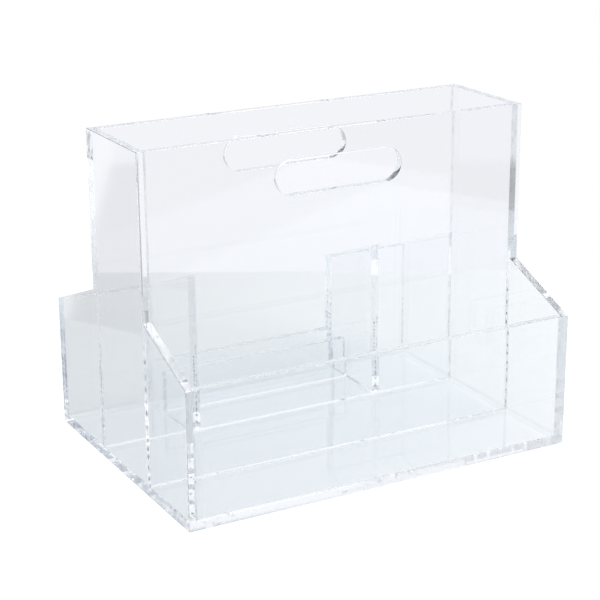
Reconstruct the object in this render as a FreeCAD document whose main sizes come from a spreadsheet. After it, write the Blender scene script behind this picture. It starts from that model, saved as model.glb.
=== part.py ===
import FreeCAD, Part
import math
import os
import Sketcher

# Desk caddy of clear acrylic sheet: a tall file box with two handle slots across the middle, an open tray
# in front of it, and behind it a square cup at each end with two low bins between them.
# Millimetres. Origin at the centre of the underside, +X to the right, +Y to the back, +Z up.
# Every panel is cut from the same sheet. The walls stand on the base, the cross panels butt between the two
# side panels, and the cup dividers run from the file box through to the rear face, like short side panels.

# The driving dimensions. Heights are above the table, and distances back are from the front face.
DIMENSIONS = {
    "sheet_thickness": 6.35,
    "caddy_width": 317.5,
    "caddy_depth": 232.4,
    "caddy_height": 253.0,
    "outer_wall_height": 103.5,
    "shoulder_height": 131.6,
    "file_box_front": 68.0,
    "file_box_back": 157.7,
    "cup_width": 68.3,
    "low_wall_height": 40.0,
    "low_divider_front": 199.0,
    "handle_length": 104.0,
    "handle_height": 25.4,
    "handle_centre_height": 220.5,
}

doc = FreeCAD.newDocument("DeskCaddy")
sheet = doc.addObject("Spreadsheet::Sheet", "Dimensions")
for row, (alias, value) in enumerate(DIMENSIONS.items(), start=1):
    sheet.set(f"A{row}", alias)
    sheet.set(f"B{row}", str(value))
    sheet.setAlias(f"B{row}", alias)
doc.recompute()

# Formulas that several panels share.
LEFT_FACE = "-caddy_width / 2"
FRONT_FACE = "-caddy_depth / 2"
BETWEEN_SIDES = "caddy_width - 2 * sheet_thickness"
WALL_TOP = "outer_wall_height - sheet_thickness"
SHOULDER_TOP = "shoulder_height - sheet_thickness"
BOX_TOP = "caddy_height - sheet_thickness"
LOW_TOP = "low_wall_height - sheet_thickness"
CUP_DEPTH = "caddy_depth - file_box_back"
BINS_WIDTH = "caddy_width - 4 * sheet_thickness - 2 * cup_width"
REAR_WALL_FRONT = "caddy_depth - sheet_thickness"

START_RADIUS = 100.0  # a new outline starts as a round of points this far out, then its dimensions place them


def formula(words):
    """Point the aliases in a formula at the sheet."""
    for alias in DIMENSIONS:
        words = words.replace(alias, f"Dimensions.{alias}")
    return words


def new_panel(name, x, y, z):
    """A body whose left, front, bottom corner is at the formulas x, y and z."""
    body = doc.addObject("PartDesign::Body", name)
    body.Label = name
    for axis, words in (("x", x), ("y", y), ("z", z)):
        body.setExpression(f"Placement.Base.{axis}", formula(words))
    return body


def new_sketch(body, plane, name):
    sketch = body.newObject("Sketcher::SketchObject", name)
    origin_plane = next(part for part in body.Origin.OriginFeatures if part.Role == plane)
    sketch.AttachmentSupport = [(origin_plane, "")]
    sketch.MapMode = "FlatFace"
    return sketch


def drive(sketch, name, constraint, words):
    """Add a dimension to a sketch and let a formula set it."""
    index = sketch.addConstraint(constraint)
    sketch.renameConstraint(index, name)
    sketch.setExpression(f"Constraints.{name}", formula(words))


def place_point(sketch, name, curve, end, across, up):
    """Hold one end or centre of a curve at the formulas across and up from the sketch's origin."""
    point = sketch.getPoint(curve, end)
    for kind, axis_line, words, start in (("DistanceX", -2, across, point.x), ("DistanceY", -1, up, point.y)):
        if words == "0":
            sketch.addConstraint(Sketcher.Constraint("PointOnObject", curve, end, axis_line))
        else:
            distance = Sketcher.Constraint(kind, -1, 1, curve, end, start)
            drive(sketch, f"{name}_{kind[-1].lower()}", distance, words)


def draw_outline(body, plane, corners):
    """A closed outline of straight cuts through corners, each a pair of formulas."""
    sketch = new_sketch(body, plane, f"{body.Name}_outline")
    count = len(corners)
    turns = [2 * math.pi * (i / count + 5 / 8) for i in range(count + 1)]
    points = [FreeCAD.Vector(math.cos(a), math.sin(a), 0) * START_RADIUS for a in turns]
    for i in range(count):
        sketch.addGeometry(Part.LineSegment(points[i], points[i + 1]), False)
    for i in range(count):
        sketch.addConstraint(Sketcher.Constraint("Coincident", i, 2, (i + 1) % count, 1))
    for i, (across, up) in enumerate(corners):
        place_point(sketch, f"corner{i + 1}", i, 1, across, up)
    return sketch


def cut_from_sheet(body, sketch, backwards=False):
    """Give an outline the thickness of the sheet."""
    pad = body.newObject("PartDesign::Pad", f"{body.Name}_sheet")
    pad.Profile = sketch
    pad.Reversed = backwards
    pad.setExpression("Length", formula("sheet_thickness"))
    return pad


def rectangle(width, height):
    return [("0", "0"), (width, "0"), (width, height), ("0", height)]


def make_base_plate():
    body = new_panel("base_plate", LEFT_FACE, FRONT_FACE, "0")
    cut_from_sheet(body, draw_outline(body, "XY_Plane", rectangle("caddy_width", "caddy_depth")))
    return body


def make_side_panel(name, x):
    """One sheet with the low tray wall, the tall file box end and the low cup wall in its outline."""
    body = new_panel(name, x, FRONT_FACE, "sheet_thickness")
    corners = [
        ("0", "0"),
        ("caddy_depth", "0"),
        ("caddy_depth", WALL_TOP),
        ("file_box_back", SHOULDER_TOP),
        ("file_box_back", BOX_TOP),
        ("file_box_front", BOX_TOP),
        ("file_box_front", SHOULDER_TOP),
        ("0", WALL_TOP),
    ]
    cut_from_sheet(body, draw_outline(body, "YZ_Plane", corners))
    return body


def make_cross_panel(name, x, back_from_front, width, height):
    """A rectangle that stands on the base and faces the front."""
    body = new_panel(name, x, f"{FRONT_FACE} + {back_from_front}", "sheet_thickness")
    cut_from_sheet(body, draw_outline(body, "XZ_Plane", rectangle(width, height)), backwards=True)
    return body


def cut_handle_slot(body):
    """Cut a level slot with round ends through a tall panel, centred across it."""
    sketch = new_sketch(body, "XZ_Plane", f"{body.Name}_handle")
    radius = START_RADIUS / 4
    left = FreeCAD.Vector(START_RADIUS, START_RADIUS, 0)
    right = FreeCAD.Vector(2 * START_RADIUS, START_RADIUS, 0)
    drop = FreeCAD.Vector(0, radius, 0)
    upwards = FreeCAD.Vector(0, 0, 1)
    sketch.addGeometry(Part.LineSegment(left - drop, right - drop), False)
    sketch.addGeometry(
        Part.ArcOfCircle(Part.Circle(right, upwards, radius), -math.pi / 2, math.pi / 2), False
    )
    sketch.addGeometry(Part.LineSegment(right + drop, left + drop), False)
    sketch.addGeometry(
        Part.ArcOfCircle(Part.Circle(left, upwards, radius), math.pi / 2, 3 * math.pi / 2), False
    )
    for i in range(4):
        sketch.addConstraint(Sketcher.Constraint("Tangent", i, 2, (i + 1) % 4, 1))
    sketch.addConstraint(Sketcher.Constraint("Equal", 1, 3))
    drive(sketch, "end_radius", Sketcher.Constraint("Radius", 1, radius), "handle_height / 2")
    reach = "(handle_length - handle_height) / 2"
    for name, curve, side in (("right_end", 1, "+"), ("left_end", 3, "-")):
        across = f"caddy_width / 2 - sheet_thickness {side} {reach}"
        place_point(sketch, name, curve, 3, across, "handle_centre_height - sheet_thickness")
    pocket = body.newObject("PartDesign::Pocket", f"{body.Name}_slot")
    pocket.Profile = sketch
    pocket.setExpression("Length", formula("sheet_thickness"))


def check_slot_volume(body):
    """A slot that cut nothing, or too little, shows in the volume."""
    length, height = DIMENSIONS["handle_length"], DIMENSIONS["handle_height"]
    slot_area = (length - height) * height + math.pi * height**2 / 4
    slot_volume = slot_area * DIMENSIONS["sheet_thickness"]
    cut_volume = doc.getObject(f"{body.Name}_sheet").Shape.Volume - body.Shape.Volume
    print(f"{body.Label}: slot {cut_volume:.1f} mm3 of {slot_volume:.1f}")
    if abs(cut_volume - slot_volume) > 0.001 * slot_volume:
        raise RuntimeError(f"the slot in {body.Label} has the wrong volume")


def make_cup_divider(name, x):
    """The inner side of a cup, with the same shoulder slope in its top as the side panels."""
    body = new_panel(name, x, f"{FRONT_FACE} + file_box_back", "sheet_thickness")
    corners = [("0", "0"), (CUP_DEPTH, "0"), (CUP_DEPTH, WALL_TOP), ("0", SHOULDER_TOP)]
    cut_from_sheet(body, draw_outline(body, "YZ_Plane", corners))
    return body


INNER_LEFT = f"{LEFT_FACE} + sheet_thickness"
INNER_RIGHT = "caddy_width / 2 - sheet_thickness"
RIGHT_CUP_LEFT = f"{INNER_RIGHT} - cup_width"
BINS_LEFT = f"{INNER_LEFT} + cup_width + sheet_thickness"
panels = [
    make_base_plate(),
    make_side_panel("left_side_panel", LEFT_FACE),
    make_side_panel("right_side_panel", INNER_RIGHT),
    make_cup_divider("left_cup_divider", f"{INNER_LEFT} + cup_width"),
    make_cup_divider("right_cup_divider", f"{RIGHT_CUP_LEFT} - sheet_thickness"),
    make_cross_panel("front_wall", INNER_LEFT, "0", BETWEEN_SIDES, WALL_TOP),
    make_cross_panel("left_cup_rear_wall", INNER_LEFT, REAR_WALL_FRONT, "cup_width", WALL_TOP),
    make_cross_panel("right_cup_rear_wall", RIGHT_CUP_LEFT, REAR_WALL_FRONT, "cup_width", WALL_TOP),
    make_cross_panel("bin_divider", BINS_LEFT, "low_divider_front", BINS_WIDTH, LOW_TOP),
    make_cross_panel("bin_rear_wall", BINS_LEFT, REAR_WALL_FRONT, BINS_WIDTH, LOW_TOP),
]
slotted_panels = []
for name, back_from_front in (
    ("file_front_panel", "file_box_front"),
    ("file_back_panel", "file_box_back - sheet_thickness"),
):
    slotted_panels.append(make_cross_panel(name, INNER_LEFT, back_from_front, BETWEEN_SIDES, BOX_TOP))
    cut_handle_slot(slotted_panels[-1])
doc.recompute()
for panel in slotted_panels:
    check_slot_volume(panel)
panels += slotted_panels

failed = [item.Name for item in doc.Objects if {"Invalid", "Error"} & set(item.State)]
if failed:
    raise RuntimeError(f"failed to recompute: {failed}")
for panel in panels:
    shape = panel.Shape
    if shape.isNull() or not shape.isValid() or len(shape.Solids) != 1:
        raise RuntimeError(f"{panel.Label} is not one sound solid")

os.makedirs("parts", exist_ok=True)
for panel in panels:
    panel.Shape.exportStep(os.path.join("parts", f"{panel.Label}.step"))
    box = panel.Shape.BoundBox
    print(f"{panel.Label}: {box.XLength:.2f} x {box.YLength:.2f} x {box.ZLength:.2f} mm at "
          f"({box.XMin:.2f}, {box.YMin:.2f}, {box.ZMin:.2f}), {panel.Shape.Volume / 1000:.2f} cm3")
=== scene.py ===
import bpy
import bmesh
import itertools
import math
import random
from mathutils import Matrix, Vector


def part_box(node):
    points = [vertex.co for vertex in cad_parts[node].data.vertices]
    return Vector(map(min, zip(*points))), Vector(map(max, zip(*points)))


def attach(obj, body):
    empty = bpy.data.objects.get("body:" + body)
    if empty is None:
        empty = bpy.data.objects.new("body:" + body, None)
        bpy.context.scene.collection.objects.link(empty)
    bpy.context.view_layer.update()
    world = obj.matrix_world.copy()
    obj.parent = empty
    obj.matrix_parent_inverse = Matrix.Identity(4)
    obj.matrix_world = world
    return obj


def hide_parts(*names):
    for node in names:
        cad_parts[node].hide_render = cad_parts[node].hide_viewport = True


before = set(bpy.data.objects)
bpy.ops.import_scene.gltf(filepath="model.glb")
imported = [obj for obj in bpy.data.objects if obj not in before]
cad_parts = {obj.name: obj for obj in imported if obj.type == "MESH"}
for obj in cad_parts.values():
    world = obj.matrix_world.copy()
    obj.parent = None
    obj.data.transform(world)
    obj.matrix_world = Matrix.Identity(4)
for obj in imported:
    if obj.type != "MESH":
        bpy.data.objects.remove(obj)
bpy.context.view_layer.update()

scene = bpy.context.scene
scene.view_settings.view_transform = "Standard"
bounces = 128  # light crosses many panels and runs along inside them, so its paths are long
scene.cycles.max_bounces = bounces
scene.cycles.transmission_bounces = bounces
scene.cycles.glossy_bounces = bounces
scene.cycles.transparent_max_bounces = bounces
scene.cycles.blur_glossy = 0.0  # a blurred refraction would starve the table under the base of light

axisX, axisY, axisZ = range(3)
tiny = 1e-6  # metres, for telling whether two faces lie in one plane
facing = 0.999  # a face looks along an axis where its normal has this much of it
# Every panel's materials: broad faces, polished edges, clear joints, and the greyer joints at a panel's ends.
faceSlot, edgeSlot, clearJointSlot, greyJointSlot = range(4)

camera = {"lens": 103.01, "sensor": 36.0, "clipEnd": 50.0, "place": (-0.60481, -1.08925, 0.52213),
          "yaw": 28.742, "pitch": 18.354, "roll": 0.371}


def aimCamera():
    lens = bpy.data.cameras.new("photoCamera")
    lens.lens = camera["lens"]
    lens.sensor_width = camera["sensor"]
    lens.clip_end = camera["clipEnd"]
    holder = bpy.data.objects.new("photoCamera", lens)
    turn = Matrix.Rotation(math.radians(-camera["yaw"]), 4, "Z")
    tilt = Matrix.Rotation(math.radians(90.0 - camera["pitch"]), 4, "X")
    roll = Matrix.Rotation(math.radians(-camera["roll"]), 4, "Z")
    holder.matrix_world = Matrix.Translation(camera["place"]) @ turn @ tilt @ roll
    scene.collection.objects.link(holder)
    scene.camera = holder
    return turn


viewTurn = aimCamera()
print("camera placed")


def unit(axis):
    direction = Vector((0.0, 0.0, 0.0))
    direction[axis] = 1.0
    return direction


def makeObject(name, bm, materials):
    mesh = bpy.data.meshes.new(name)
    bm.to_mesh(mesh)
    bm.free()
    for material in materials:
        mesh.materials.append(material)
    made = bpy.data.objects.new(name, mesh)
    scene.collection.objects.link(made)
    return made


# Materials

def newMaterial(name):
    material = bpy.data.materials.new(name)
    material.use_nodes = True
    tree = material.node_tree
    tree.nodes.clear()
    output = tree.nodes.new("ShaderNodeOutputMaterial")
    return material, tree, output


castSheet = {"waveDetail": 1.0, "waveDistance": 0.001,
             "defaults": {"Wave Scale": 20.0, "Wave Height": 0.1, "Polish": 0.0, "Haze": 0.0,
                          "Speck Scale": 300.0, "Speck Share": 0.05, "Speck Roughness": 0.2}}


def makeSheetMarks():
    # Shared by faces, edges and bubbles: the slow waves of a cast sheet, its haze and its few specks of dust.
    group = bpy.data.node_groups.new("sheetMarks", "ShaderNodeTree")
    for name, value in castSheet["defaults"].items():
        group.interface.new_socket(name, in_out="INPUT", socket_type="NodeSocketFloat").default_value = value
    group.interface.new_socket("Roughness", in_out="OUTPUT", socket_type="NodeSocketFloat")
    group.interface.new_socket("Normal", in_out="OUTPUT", socket_type="NodeSocketVector")
    inputs = group.nodes.new("NodeGroupInput")
    outputs = group.nodes.new("NodeGroupOutput")
    place = group.nodes.new("ShaderNodeTexCoord")
    waves = group.nodes.new("ShaderNodeTexNoise")
    waves.inputs["Detail"].default_value = castSheet["waveDetail"]
    group.links.new(place.outputs["Object"], waves.inputs["Vector"])
    group.links.new(inputs.outputs["Wave Scale"], waves.inputs["Scale"])
    bump = group.nodes.new("ShaderNodeBump")
    bump.inputs["Distance"].default_value = castSheet["waveDistance"]
    group.links.new(inputs.outputs["Wave Height"], bump.inputs["Strength"])
    group.links.new(waves.outputs["Fac"], bump.inputs["Height"])
    group.links.new(bump.outputs["Normal"], outputs.inputs["Normal"])
    specks = group.nodes.new("ShaderNodeTexVoronoi")
    group.links.new(place.outputs["Object"], specks.inputs["Vector"])
    group.links.new(inputs.outputs["Speck Scale"], specks.inputs["Scale"])
    near = group.nodes.new("ShaderNodeMath")
    near.operation = "LESS_THAN"
    group.links.new(specks.outputs["Distance"], near.inputs[0])
    group.links.new(inputs.outputs["Speck Share"], near.inputs[1])
    haze = group.nodes.new("ShaderNodeMath")
    haze.operation = "MULTIPLY_ADD"
    group.links.new(waves.outputs["Fac"], haze.inputs[0])
    group.links.new(inputs.outputs["Haze"], haze.inputs[1])
    group.links.new(inputs.outputs["Polish"], haze.inputs[2])
    rough = group.nodes.new("ShaderNodeMath")
    rough.operation = "MULTIPLY_ADD"
    group.links.new(near.outputs[0], rough.inputs[0])
    group.links.new(inputs.outputs["Speck Roughness"], rough.inputs[1])
    group.links.new(haze.outputs[0], rough.inputs[2])
    group.links.new(rough.outputs[0], outputs.inputs["Roughness"])
    return group


sheetMarks = makeSheetMarks()


def addMarks(tree, look):
    marks = tree.nodes.new("ShaderNodeGroup")
    marks.node_tree = sheetMarks
    for socket, value in look["marks"].items():
        marks.inputs[socket].default_value = value
    return marks


# The shadow colour is what a face lets through of a lamp's light. The floor lets through more than an upright
# sheet, which that light crosses aslant.
clearFace = {"color": (0.985, 0.992, 0.997, 1.0), "ior": 1.49, "shadow": (0.933, 0.94, 0.946, 1.0),
             "marks": {"Wave Scale": 9.0, "Wave Height": 0.002, "Polish": 0.02, "Haze": 0.02,
                       "Speck Scale": 220.0, "Speck Share": 0.03, "Speck Roughness": 0.25}}
floorFace = {**clearFace, "shadow": (0.968, 0.972, 0.976, 1.0)}
polishedEdge = {**clearFace, "color": (0.86, 0.88, 0.895, 1.0),
                "marks": {"Wave Scale": 70.0, "Wave Height": 0.0004, "Polish": 0.0, "Haze": 0.0,
                          "Speck Share": 0.0}}
# Cement leaves the joints at a panel's ends faintly grey, and more so in blotches.
cement = {"clear": (0.99, 0.992, 0.995, 1.0), "grey": (0.91, 0.92, 0.935, 1.0), "blotchScale": 160.0,
          "blotchDetail": 3.0, "blotches": (0.45, 0.65)}


def makeAcrylic(name, look):
    material, tree, output = newMaterial(name)
    glass = tree.nodes.new("ShaderNodeBsdfPrincipled")
    glass.inputs["Base Color"].default_value = look["color"]
    glass.inputs["Transmission Weight"].default_value = 1.0
    glass.inputs["IOR"].default_value = look["ior"]
    marks = addMarks(tree, look)
    tree.links.new(marks.outputs["Roughness"], glass.inputs["Roughness"])
    tree.links.new(marks.outputs["Normal"], glass.inputs["Normal"])
    lampsThrough = tree.nodes.new("ShaderNodeBsdfTransparent")
    lampsThrough.inputs["Color"].default_value = look["shadow"]
    path = tree.nodes.new("ShaderNodeLightPath")
    mix = tree.nodes.new("ShaderNodeMixShader")
    tree.links.new(path.outputs["Is Shadow Ray"], mix.inputs["Fac"])
    tree.links.new(glass.outputs["BSDF"], mix.inputs[1])
    tree.links.new(lampsThrough.outputs["BSDF"], mix.inputs[2])
    tree.links.new(mix.outputs["Shader"], output.inputs["Surface"])
    return material


def makeClearJoint():
    # Solvent welds the sheets into one, so light crosses a bonded face straight.
    material, tree, output = newMaterial("clearJoint")
    clear = tree.nodes.new("ShaderNodeBsdfTransparent")
    tree.links.new(clear.outputs["BSDF"], output.inputs["Surface"])
    return material


def makeGreyJoint():
    material, tree, output = newMaterial("greyJoint")
    place = tree.nodes.new("ShaderNodeTexCoord")
    blotches = tree.nodes.new("ShaderNodeTexNoise")
    blotches.inputs["Scale"].default_value = cement["blotchScale"]
    blotches.inputs["Detail"].default_value = cement["blotchDetail"]
    tree.links.new(place.outputs["Object"], blotches.inputs["Vector"])
    ramp = tree.nodes.new("ShaderNodeValToRGB")
    tints = (cement["clear"], cement["grey"])
    for stop, at, color in zip(ramp.color_ramp.elements, cement["blotches"], tints):
        stop.position = at
        stop.color = color
    tree.links.new(blotches.outputs["Fac"], ramp.inputs["Fac"])
    film = tree.nodes.new("ShaderNodeBsdfTransparent")
    tree.links.new(ramp.outputs["Color"], film.inputs["Color"])
    tree.links.new(film.outputs["BSDF"], output.inputs["Surface"])
    return material


sharedMaterials = [makeAcrylic("polishedEdge", polishedEdge), makeClearJoint(), makeGreyJoint()]
wallMaterials = [makeAcrylic("clearFace", clearFace), *sharedMaterials]
floorMaterials = [makeAcrylic("floorFace", floorFace), *sharedMaterials]
print("materials made")


# Panels

sheet = {"thickness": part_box("base_plate")[1].z, "arris": 0.0003, "arrisSteps": 2, "arrisAngle": 20.0}
# The facets of the slot's round ends are smaller than endFacet, in square metres.
handleSlot = {"length": 0.104, "height": 0.0254, "centreHeight": 0.2205, "rimSteps": 66, "endFacet": 2e-5}
sides = ("left_side_panel", "right_side_panel")
dividers = ("left_cup_divider", "right_cup_divider")
filePanels = ("file_front_panel", "file_back_panel")
plainWalls = ("front_wall", "left_cup_rear_wall", "right_cup_rear_wall", "bin_divider", "bin_rear_wall")

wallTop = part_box("front_wall")[1].z
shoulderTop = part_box("left_cup_divider")[1].z
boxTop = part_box("left_side_panel")[1].z
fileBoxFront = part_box("file_front_panel")[0].y
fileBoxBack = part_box("file_back_panel")[1].y


def findJoints():
    # Two panels are bonded where their boxes share a flat rectangle.
    joints = {name: [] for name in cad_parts}
    for first, second in itertools.combinations(sorted(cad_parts), 2):
        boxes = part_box(first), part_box(second)
        low = Vector([max(box[0][axis] for box in boxes) for axis in range(3)])
        high = Vector([min(box[1][axis] for box in boxes) for axis in range(3)])
        thin = [axis for axis in range(3) if abs(high[axis] - low[axis]) < tiny]
        wide = [axis for axis in range(3) if high[axis] - low[axis] >= tiny]
        if len(thin) == 1 and len(wide) == 2:
            for name in (first, second):
                joints[name].append((thin[0], wide, low, high))
    return joints


joints = findJoints()


def extrudeSheet(bm, axis):
    # The faces drawn on the sheet's near side are carried through its thickness.
    carried = bmesh.ops.extrude_face_region(bm, geom=bm.faces[:])
    farSide = [item for item in carried["geom"] if isinstance(item, bmesh.types.BMVert)]
    bmesh.ops.translate(bm, vec=unit(axis) * sheet["thickness"], verts=farSide)
    bmesh.ops.recalc_face_normals(bm, faces=bm.faces)


def cutWall(name):
    low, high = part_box(name)
    bm = bmesh.new()
    bmesh.ops.create_cube(bm, size=1.0)
    bmesh.ops.scale(bm, vec=high - low, verts=bm.verts)
    bmesh.ops.translate(bm, vec=(low + high) / 2, verts=bm.verts)
    return bm


def cutProfile(name, corners):
    # corners are (y, z) pairs, drawn on the panel's left face.
    bm = bmesh.new()
    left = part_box(name)[0].x
    bm.faces.new([bm.verts.new((left, y, z)) for y, z in corners])
    extrudeSheet(bm, axisX)
    return bm


def cutSide(name):
    low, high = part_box(name)
    return cutProfile(name, [
        (low.y, low.z), (high.y, low.z), (high.y, wallTop), (fileBoxBack, shoulderTop), (fileBoxBack, boxTop),
        (fileBoxFront, boxTop), (fileBoxFront, shoulderTop), (low.y, wallTop)])


def cutDivider(name):
    low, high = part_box(name)
    return cutProfile(name, [(low.y, low.z), (high.y, low.z), (high.y, wallTop), (low.y, high.z)])


def cutFilePanel(name):
    # A circle pulled apart makes the slot's rim, and the panel's front is one face above it and one below.
    low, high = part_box(name)
    bm = bmesh.new()
    radius = handleSlot["height"] / 2
    reach = handleSlot["length"] / 2 - radius
    upright = Matrix.Rotation(math.pi / 2, 4, "X") @ Matrix.Rotation(math.pi / 2, 4, "Z")
    toFront = Matrix.Translation((0.0, low.y, handleSlot["centreHeight"])) @ upright
    circle = bmesh.ops.create_circle(bm, segments=handleSlot["rimSteps"], radius=radius, matrix=toFront)
    for vert in circle["verts"]:
        vert.co.x += math.copysign(reach, vert.co.x)
    middle = handleSlot["centreHeight"]
    leftSide, rightSide = [bm.verts.new((x, low.y, middle)) for x in (low.x, high.x)]
    for height, above in ((high.z, True), (low.z, False)):
        rim = [vert for vert in circle["verts"]
               if abs(vert.co.z - middle) < tiny or (vert.co.z > middle) == above]
        rim.sort(key=lambda vert: (vert.co.x, abs(vert.co.z - middle)))
        leftEnd = [vert for vert in rim if vert.co.x < 0]
        rightEnd = sorted((vert for vert in rim if vert.co.x > 0), key=lambda vert: vert.co.x)
        corners = [bm.verts.new((x, low.y, height)) for x in (high.x, low.x)]
        bm.faces.new([leftSide, *leftEnd, *rightEnd, rightSide, *corners])
    extrudeSheet(bm, axisY)
    return bm


def markJoints(bm, name):
    # Each bonded rectangle is cut free in the face that it lies in.
    for thin, wide, low, high in joints[name]:
        for axis, corner in itertools.product(wide, (low, high)):
            flat = [face for face in bm.faces if abs(face.normal[thin]) > facing
                    and abs(face.verts[0].co[thin] - low[thin]) < tiny]
            edges = {edge for face in flat for edge in face.edges}
            verts = {vert for face in flat for vert in face.verts}
            bmesh.ops.bisect_plane(bm, geom=[*flat, *edges, *verts], dist=tiny,
                                   plane_co=unit(axis) * corner[axis], plane_no=unit(axis))
        for face in bm.faces:
            middle = face.calc_center_bounds()
            inside = all(low[axis] - tiny < middle[axis] < high[axis] + tiny for axis in range(3))
            if inside and abs(face.normal[thin]) > facing:
                face.material_index = greyJointSlot if thin == axisX else clearJointSlot


def breakArrises(bm):
    # A polisher takes the sharpness off every free corner and leaves the bonded ones alone.
    free = [edge for edge in bm.edges if edge.is_manifold and edge.is_convex
            and edge.calc_face_angle() > math.radians(sheet["arrisAngle"])
            and all(face.material_index < clearJointSlot for face in edge.link_faces)]
    bmesh.ops.bevel(bm, geom=free, offset=sheet["arris"], offset_type="OFFSET", affect="EDGES",
                    segments=sheet["arrisSteps"], profile=0.5, material=-1, clamp_overlap=False)


def finishPanel(name, bm, thinAxis, materials):
    markJoints(bm, name)
    for face in bm.faces:
        if face.material_index == faceSlot and abs(face.normal[thinAxis]) < facing:
            face.material_index = edgeSlot
            face.smooth = name in filePanels and face.calc_area() < handleSlot["endFacet"]
    breakArrises(bm)
    openEdges = sum(not edge.is_manifold for edge in bm.edges)
    volume = bm.calc_volume(signed=True)
    panel = makeObject(f"{name}_sheet", bm, materials)
    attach(panel, "root")
    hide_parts(name)
    print(f"{name}: {len(panel.data.polygons)} faces, {volume * 1e6:.2f} cm3, {openEdges} open edges")


# Air caught in the cement shows as short chains of flat bubbles low in the joints. A row is for every panel
# whose name ends in the row's, so a joint between two such panels has two rows. It gives a bubble's radius,
# the spacing, and where the row starts and ends.
bubbleRows = {
    "file_back_panel": {"radius": (0.0004, 0.0006), "pitch": (0.0024, 0.0034), "span": (0.012, 0.060)},
    "file_front_panel": {"radius": (0.0008, 0.0013), "pitch": (0.006, 0.011), "span": (0.006, 0.100)},
    "front_wall": {"radius": (0.0003, 0.0006), "pitch": (0.018, 0.035), "span": (0.008, 0.090)},
    "rear_wall": {"radius": (0.0004, 0.0008), "pitch": (0.003, 0.006), "span": (0.004, 0.050)},
    "cup_divider": {"radius": (0.0006, 0.0009), "pitch": (0.0045, 0.006), "span": (0.006, 0.030)},
    "bin_divider": {"radius": (0.0004, 0.0008), "pitch": (0.004, 0.008), "span": (0.004, 0.030)},
    "left_side_panel": {"radius": (0.0006, 0.0013), "pitch": (0.005, 0.015), "span": (0.014, 0.228)},
}
bubble = {"color": (0.36, 0.39, 0.49, 1.0), "flat": 0.4, "long": 1.8, "facetSteps": 2, "seed": 11,
          "marks": {"Wave Scale": 900.0, "Polish": 0.05, "Haze": 0.3, "Speck Share": 0.0}}


def findBubbleRows():
    # A panel's upright joints, and its floor joint if that runs from front to back. A side has only that one.
    for name in sorted(joints):
        kind = next((words for words in bubbleRows if name.endswith(words)), None)
        for thin, wide, low, high in joints[name]:
            along = max(wide, key=lambda axis: high[axis] - low[axis])
            upright = thin != axisZ and name not in sides
            floorSeam = thin == axisZ and along == axisY
            if kind and (upright or floorSeam):
                yield bubbleRows[kind], thin, along, low, high


def makeBubbles():
    chance = random.Random(bubble["seed"])
    bm = bmesh.new()
    for row, thin, along, low, high in findBubbleRows():
        start, stop = row["span"]
        place = (low + high) / 2
        place[along] = low[along] + start
        while place[along] < min(high[along] - start, low[along] + stop):
            shape = Vector((1.0, 1.0, 1.0)) * chance.uniform(*row["radius"])
            shape[thin] *= bubble["flat"]
            shape[along] *= chance.uniform(1.0, bubble["long"])
            stretch = Matrix.Translation(place) @ Matrix.Diagonal((*shape, 1.0))
            bmesh.ops.create_icosphere(bm, subdivisions=bubble["facetSteps"], radius=1.0, matrix=stretch)
            place[along] += chance.uniform(*row["pitch"])
    for face in bm.faces:
        face.smooth = True
    material, tree, output = newMaterial("trappedAir")
    silver = tree.nodes.new("ShaderNodeBsdfPrincipled")
    silver.inputs["Base Color"].default_value = bubble["color"]
    silver.inputs["Metallic"].default_value = 1.0
    marks = addMarks(tree, bubble)
    tree.links.new(marks.outputs["Roughness"], silver.inputs["Roughness"])
    tree.links.new(silver.outputs["BSDF"], output.inputs["Surface"])
    chains = makeObject("joint_bubbles", bm, [material])
    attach(chains, "root")
    print(f"joint_bubbles: {len(chains.data.polygons)} faces")


finishPanel("base_plate", cutWall("base_plate"), axisZ, floorMaterials)
for name in sides:
    finishPanel(name, cutSide(name), axisX, wallMaterials)
for name in dividers:
    finishPanel(name, cutDivider(name), axisX, wallMaterials)
for name in filePanels:
    finishPanel(name, cutFilePanel(name), axisY, wallMaterials)
for name in plainWalls:
    finishPanel(name, cutWall(name), axisY, wallMaterials)
makeBubbles()
print("panels cut")


# Stage

white = (1.0, 1.0, 1.0)
# The table's edges are distances from the middle of the base, along the camera's heading and to its right.
# The lift is a glow that only the camera sees.
table = {"front": -0.42, "back": 0.425, "left": -0.391, "right": 0.75, "gap": 0.0003,
         "color": (0.89, 0.918, 0.922, 1.0), "lift": 0.36}


def makeTable():
    bm = bmesh.new()
    corners = [(table["left"], table["front"]), (table["right"], table["front"]),
               (table["right"], table["back"]), (table["left"], table["back"])]
    bm.faces.new([bm.verts.new((*corner, -table["gap"])) for corner in corners])
    bmesh.ops.transform(bm, matrix=viewTurn, verts=bm.verts)
    material, tree, output = newMaterial("tableTop")
    matt = tree.nodes.new("ShaderNodeBsdfDiffuse")
    matt.inputs["Color"].default_value = table["color"]
    lift = tree.nodes.new("ShaderNodeEmission")
    lift.inputs["Color"].default_value = (*white, 1.0)
    path = tree.nodes.new("ShaderNodeLightPath")
    strength = tree.nodes.new("ShaderNodeMath")
    strength.operation = "MULTIPLY"
    strength.inputs[1].default_value = table["lift"]
    both = tree.nodes.new("ShaderNodeAddShader")
    tree.links.new(path.outputs["Is Camera Ray"], strength.inputs[0])
    tree.links.new(strength.outputs[0], lift.inputs["Strength"])
    tree.links.new(matt.outputs["BSDF"], both.inputs[0])
    tree.links.new(lift.outputs["Emission"], both.inputs[1])
    tree.links.new(both.outputs["Shader"], output.inputs["Surface"])
    top = makeObject("tableTop", bm, [material])


makeTable()

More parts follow.
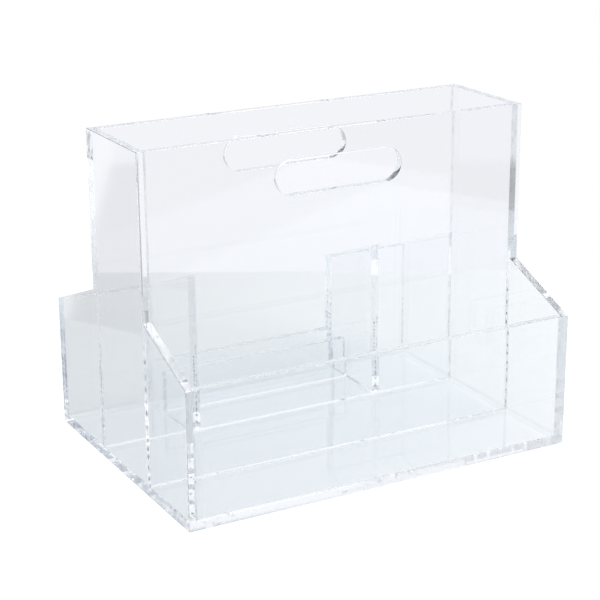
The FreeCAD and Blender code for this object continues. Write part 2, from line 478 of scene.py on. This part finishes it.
# What lies round the table: white for the camera, "diffuse" for light off the table, "backdrop" straight
# through the acrylic, and the rest for what the acrylic reflects. Directions are azimuths from +Y towards +X,
# and elevations. The two front borders are the part of a direction that points up or to the front, and a fade
# is half a border's width.
room = {"diffuse": (0.30, 0.30, 0.315), "backdrop": (0.925, 0.93, 0.975),
        "walls": (0.86, 0.87, 0.90), "floorBehind": (0.50, 0.50, 0.52),
        "floorTop": -13.7, "floorTopFade": 0.002,
        "behindCamera": (0.54, 0.57, 0.64), "floorInFront": (0.70, 0.70, 0.58),
        "frontFloorBorder": -0.1, "frontFloorFade": 0.1, "frontBorder": 0.2, "frontFade": 0.1,
        "paper": (1.08, 1.08, 1.10), "paperLeft": -26.6, "paperLean": 17.0, "paperLeftFade": 0.003,
        "paperRight": 80.0, "paperRightFade": 0.01,
        "softBox": 5.6, "softBoxAzimuth": 48.0, "softBoxElevation": 55.0, "softBoxSpread": 11.5,
        "softBoxFade": 0.012}


def makeRoom():
    world = bpy.data.worlds.new("studio")
    scene.world = world
    world.use_nodes = True
    world.cycles.sampling_method = "NONE"
    tree = world.node_tree
    tree.nodes.clear()
    output = tree.nodes.new("ShaderNodeOutputWorld")
    path = tree.nodes.new("ShaderNodeLightPath")
    toward = tree.nodes.new("ShaderNodeTexCoord").outputs["Generated"]

    def light(color):
        node = tree.nodes.new("ShaderNodeBackground")
        node.inputs["Color"].default_value = (*color, 1.0)
        return node.outputs["Background"]

    def choose(switch, off, on):
        mix = tree.nodes.new("ShaderNodeMixShader")
        tree.links.new(switch, mix.inputs["Fac"])
        tree.links.new(off, mix.inputs[1])
        tree.links.new(on, mix.inputs[2])
        return mix.outputs["Shader"]

    def beyond(normal, level, fade):
        # 1 where a direction lies past a plane, with a soft border.
        dot = tree.nodes.new("ShaderNodeVectorMath")
        dot.operation = "DOT_PRODUCT"
        tree.links.new(toward, dot.inputs[0])
        dot.inputs[1].default_value = normal
        ramp = tree.nodes.new("ShaderNodeMapRange")
        ramp.interpolation_type = "SMOOTHSTEP"
        ramp.inputs["From Min"].default_value = level - fade
        ramp.inputs["From Max"].default_value = level + fade
        tree.links.new(dot.outputs["Value"], ramp.inputs["Value"])
        return ramp.outputs["Result"]

    def bounced(depth):
        # 1 once light has bounced that way, which makes its depth at least 1.
        node = tree.nodes.new("ShaderNodeMath")
        node.operation = "GREATER_THAN"
        node.inputs[1].default_value = 0.5
        tree.links.new(depth, node.inputs[0])
        return node.outputs[0]

    def both(first, second):
        node = tree.nodes.new("ShaderNodeMath")
        node.operation = "MULTIPLY"
        tree.links.new(first, node.inputs[0])
        tree.links.new(second, node.inputs[1])
        return node.outputs[0]

    upwards, toFront = (0.0, 0.0, 1.0), (0.0, -1.0, 0.0)
    backdrop = light(room["backdrop"])
    left, right, lean = [math.radians(room[key]) for key in ("paperLeft", "paperRight", "paperLean")]
    leftEdge = (math.cos(left) * math.cos(lean), -math.sin(left) * math.cos(lean), math.sin(lean))
    rightEdge = (-math.cos(right), math.sin(right), 0.0)
    paper = both(beyond(leftEdge, 0.0, room["paperLeftFade"]), beyond(rightEdge, 0.0, room["paperRightFade"]))
    aboveFloor = beyond(upwards, math.sin(math.radians(room["floorTop"])), room["floorTopFade"])
    back = choose(aboveFloor, light(room["floorBehind"]), light(room["walls"]))
    back = choose(paper, back, light(room["paper"]))
    aboveFrontFloor = beyond(upwards, room["frontFloorBorder"], room["frontFloorFade"])
    front = choose(aboveFrontFloor, light(room["floorInFront"]), light(room["behindCamera"]))
    studio = choose(beyond(toFront, room["frontBorder"], room["frontFade"]), back, front)
    azimuth, elevation = math.radians(room["softBoxAzimuth"]), math.radians(room["softBoxElevation"])
    across, height = math.cos(elevation), math.sin(elevation)
    middle = (math.sin(azimuth) * across, math.cos(azimuth) * across, height)
    softBox = light(white)
    softBox.node.inputs["Strength"].default_value = room["softBox"]
    rim = math.cos(math.radians(room["softBoxSpread"]))
    studio = choose(beyond(middle, rim, room["softBoxFade"]), studio, softBox)

    seen = choose(bounced(path.outputs["Glossy Depth"]), backdrop, studio)
    seen = choose(bounced(path.outputs["Diffuse Depth"]), seen, light(room["diffuse"]))
    seen = choose(path.outputs["Is Camera Ray"], seen, light(white))
    tree.links.new(seen, output.inputs["Surface"])


makeRoom()

# The lamps don't show in the acrylic, which reflects the room.
lamps = {
    "topLight": {"place": (0.0, 0.0, 1.7), "size": (1.4, 1.4), "watts": 5.0},
    "frontLight": {"place": (0.9, -1.6, 1.1), "size": (1.0, 1.0), "watts": 24.5},
    "rightLight": {"place": (1.6, 0.2, 1.1), "size": (1.0, 1.0), "watts": 17.0},
    "leftLight": {"place": (-1.6, -0.2, 1.1), "size": (1.2, 1.2), "watts": 4.0},
}


def makeLamps():
    for name, lamp in lamps.items():
        light = bpy.data.lights.new(name, "AREA")
        light.shape = "RECTANGLE"
        light.size, light.size_y = lamp["size"]
        light.energy = lamp["watts"]
        holder = bpy.data.objects.new(name, light)
        holder.location = lamp["place"]
        holder.rotation_euler = (-holder.location).to_track_quat("-Z", "Y").to_euler()
        holder.visible_glossy = False
        holder.visible_transmission = False
        scene.collection.objects.link(holder)


makeLamps()
print("stage lit")
